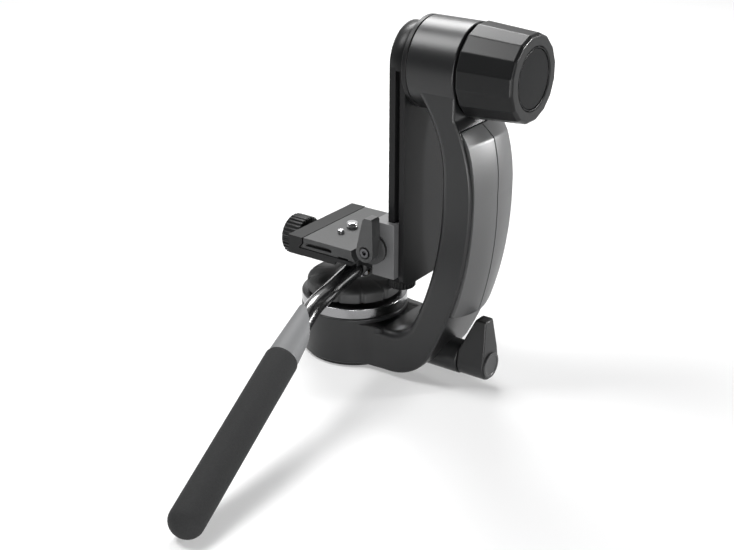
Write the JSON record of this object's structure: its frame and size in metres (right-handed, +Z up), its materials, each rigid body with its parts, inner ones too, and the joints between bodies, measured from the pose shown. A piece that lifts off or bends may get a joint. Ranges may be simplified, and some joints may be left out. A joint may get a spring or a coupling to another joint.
{
  "type": "pan tilt head",
  "caption": "Camera support head with a C-shaped arm on a pan base, a side tilt knob, a hanging cradle with a sliding quick-release platform and a bent grip handle.",
  "frame": {"origin": "on the pan axis at the underside of the foot, at the mouth of the tripod socket", "axes": "+X from the pan axis towards the tilt knob, +Y away from the grip, +Z up along the pan axis"},
  "size_m": [0.1556, 0.243, 0.2029],
  "materials": {
    "casting": "black satin cast",
    "cover": "satin black",
    "plate_metal": "fine grey texture",
    "lever_metal": "satin grey",
    "ferrule_metal": "satin grey",
    "knob_plastic": "satin black",
    "black_rod": "gloss black",
    "foam": "matte foam",
    "polished_ring": "polished",
    "bright_steel": "bright",
    "steel": "turned",
    "brass": "turned",
    "friction": "dull"
  },
  "bodies": {
    "base": {"base_foot": "casting", "pan_spindle": "steel", "foot_screws": "steel", "pan_ring": "polished_ring", "ring_dowel": "steel", "pan_disc_spring": "steel", "spindle_clip": "steel"},
    "arm": {"arm_casting": "casting", "arm_cover": "cover", "pan_bushes": "brass", "pan_friction_washer": "friction", "tilt_bushes": "brass", "thrust_washer": "friction", "tilt_friction_disc": "friction"},
    "pan_disk": {"pan_drag_disk": "knob_plastic", "pan_disk_insert": "brass"},
    "pan_lock": {"pan_lock_lever": "knob_plastic", "pan_lock_screw": "steel", "pan_lock_cap": "knob_plastic"},
    "brake": {"brake_shoe": "brass"},
    "cradle": {"cradle": "casting", "tilt_shaft": "steel", "cradle_screws": "steel", "rail_stop_screws": "steel", "tilt_pressure_plate": "steel", "tilt_disc_springs": "steel", "shaft_clip": "steel"},
    "tilt_knob": {"tilt_knob": "knob_plastic", "tilt_knob_cap": "knob_plastic", "tilt_knob_insert": "brass"},
    "carrier": {"carrier": "casting", "rail_clamp_pad": "brass", "platform": "casting", "platform_screws": "steel"},
    "height_wheel": {"height_wheel": "knob_plastic", "height_screw": "steel"},
    "qr_lever": {"qr_lever": "lever_metal", "lever_screw": "steel", "cam_shaft": "steel"},
    "jaw": {"movable_jaw": "plate_metal"},
    "plate": {"qr_plate": "plate_metal", "pin_spring": "steel"},
    "camera_screw": {"camera_screw": "bright_steel", "camera_screw_clip": "steel"},
    "pin": {"anti_twist_pin": "bright_steel"},
    "handle": {"handle_eye": "plate_metal", "handle_rod": "black_rod", "handle_ferrule": "ferrule_metal", "handle_grip": "foam", "rod_set_screw": "steel"},
    "clamp_knob": {"clamp_knob": "knob_plastic", "clamp_bolt": "steel"}
  },
  "joints": [
    {"name": "pan", "type": "hinge", "parent": "base", "child": "arm", "pos_m": [0, 0, 0], "axis": [0, 0, 1], "continuous": true},
    {"name": "pan_drag", "type": "hinge", "parent": "base", "child": "pan_disk", "pos_m": [0, 0, 0], "axis": [0, 0, 1], "range_deg": [-150, 150]},
    {"name": "pan_lock", "type": "hinge", "parent": "arm", "child": "pan_lock", "pos_m": [0.08, 0, 0.0135], "axis": [1, 0, 0], "range_deg": [0, 80]},
    {"name": "brake", "type": "slide", "parent": "arm", "child": "brake", "axis": [-1, 0, 0], "range_m": [0, 0.00021]},
    {"name": "tilt", "type": "hinge", "parent": "arm", "child": "cradle", "pos_m": [0.06, 0, 0.1784], "axis": [1, 0, 0], "range_deg": [-90, 5]},
    {"name": "tilt_drag", "type": "hinge", "parent": "cradle", "child": "tilt_knob", "pos_m": [0.06, 0, 0.1784], "axis": [1, 0, 0], "range_deg": [-150, 150]},
    {"name": "height", "type": "slide", "parent": "cradle", "child": "carrier", "axis": [0, 0, 1], "range_m": [0, 0.055]},
    {"name": "height_lock", "type": "hinge", "parent": "carrier", "child": "height_wheel", "pos_m": [0.0329, 0, 0.0505], "axis": [0, 0, 1], "range_deg": [-180, 180]},
    {"name": "release", "type": "hinge", "parent": "carrier", "child": "qr_lever", "pos_m": [0.0309, 0, 0.077], "axis": [0, 1, 0], "range_deg": [0, 90]},
    {"name": "jaw", "type": "slide", "parent": "carrier", "child": "jaw", "axis": [1, 0, 0], "range_m": [0, 0.0014]},
    {"name": "plate_slide", "type": "slide", "parent": "carrier", "child": "plate", "axis": [0, -1, 0], "range_m": [0, 0.045]},
    {"name": "camera_screw", "type": "hinge", "parent": "plate", "child": "camera_screw", "pos_m": [-0.00085, -0.001, 0.0743], "axis": [0, 0, 1], "continuous": true},
    {"name": "pin_press", "type": "slide", "parent": "plate", "child": "pin", "axis": [0, 0, -1], "range_m": [0, 0.0024], "stiffness_N_per_m": 400, "deforming": ["pin_spring"]},
    {"name": "handle", "type": "hinge", "parent": "carrier", "child": "handle", "pos_m": [0.008, 0, 0.0605], "axis": [1, 0, 0], "range_deg": [-4, 8]},
    {"name": "handle_clamp", "type": "hinge", "parent": "carrier", "child": "clamp_knob", "pos_m": [0.008, 0, 0.0605], "axis": [1, 0, 0], "range_deg": [-180, 180]}
  ],
  "couplings": [
    {"joint": "jaw", "follows": "release", "m_per_rad": 0.000891},
    {"joint": "brake", "follows": "pan_lock", "m_per_rad": 0.00015}
  ]
}
